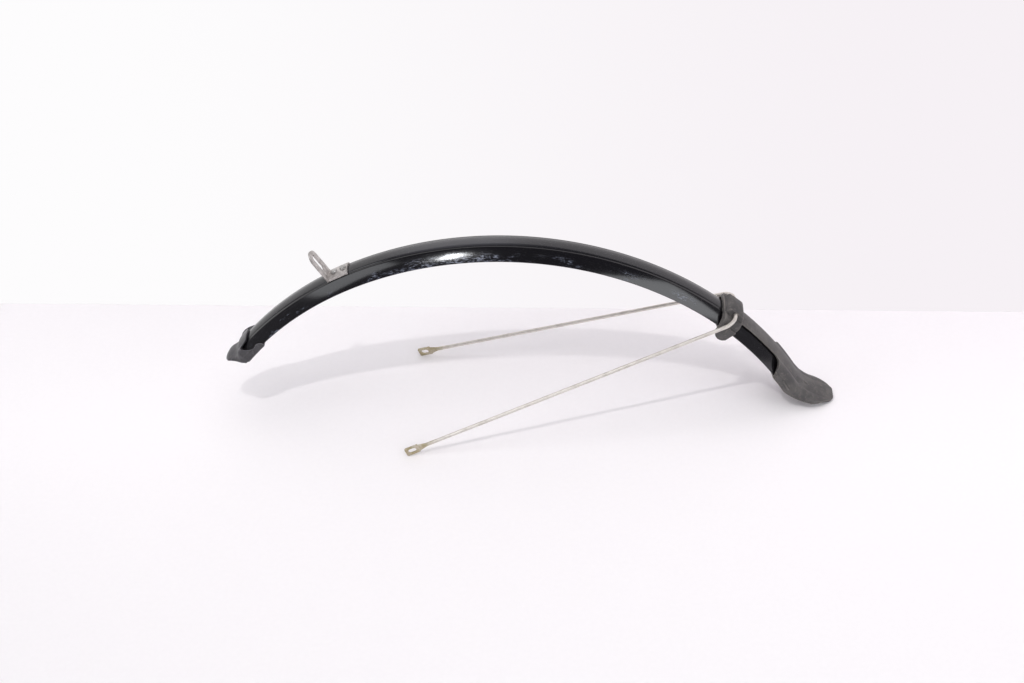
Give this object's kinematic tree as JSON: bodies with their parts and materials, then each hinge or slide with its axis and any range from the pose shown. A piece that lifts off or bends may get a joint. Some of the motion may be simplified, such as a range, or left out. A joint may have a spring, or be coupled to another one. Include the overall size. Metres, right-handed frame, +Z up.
{
  "type": "bicycle mudguard",
  "caption": "Front bicycle mudguard: an arched black steel blade with rubber ends, a hinged wire stay with slotted eyes and a slotted fork bracket.",
  "frame": {"origin": "floor under the middle of the length, on the blade's middle plane", "axes": "+X rearward to the mud flap, +Y across, +Z up"},
  "size_m": [0.655, 0.1656, 0.2232],
  "materials": {
    "black_paint": "gloss black enamel with fine scuffs",
    "tip_rubber": "satin black rubber",
    "flap_rubber": "matt black rubber, dusty",
    "stay_steel": "zinc plated wire, slightly dull at the eyes",
    "bracket_steel": "dull zinc plate",
    "rivet_steel": "plain steel"
  },
  "bodies": {
    "guard": {"mudguard_blade": "black_paint", "front_tip": "tip_rubber", "mud_flap": "flap_rubber", "fork_bracket": "bracket_steel", "bracket_rivets": "rivet_steel"},
    "stay": {"wire_stay": "stay_steel"}
  },
  "joints": [
    {"name": "stay_swing", "type": "hinge", "parent": "guard", "child": "stay", "pos_m": [0.22051, 0, 0.12578], "axis": [0, -1, 0], "range_deg": [-20, 40]}
  ]
}
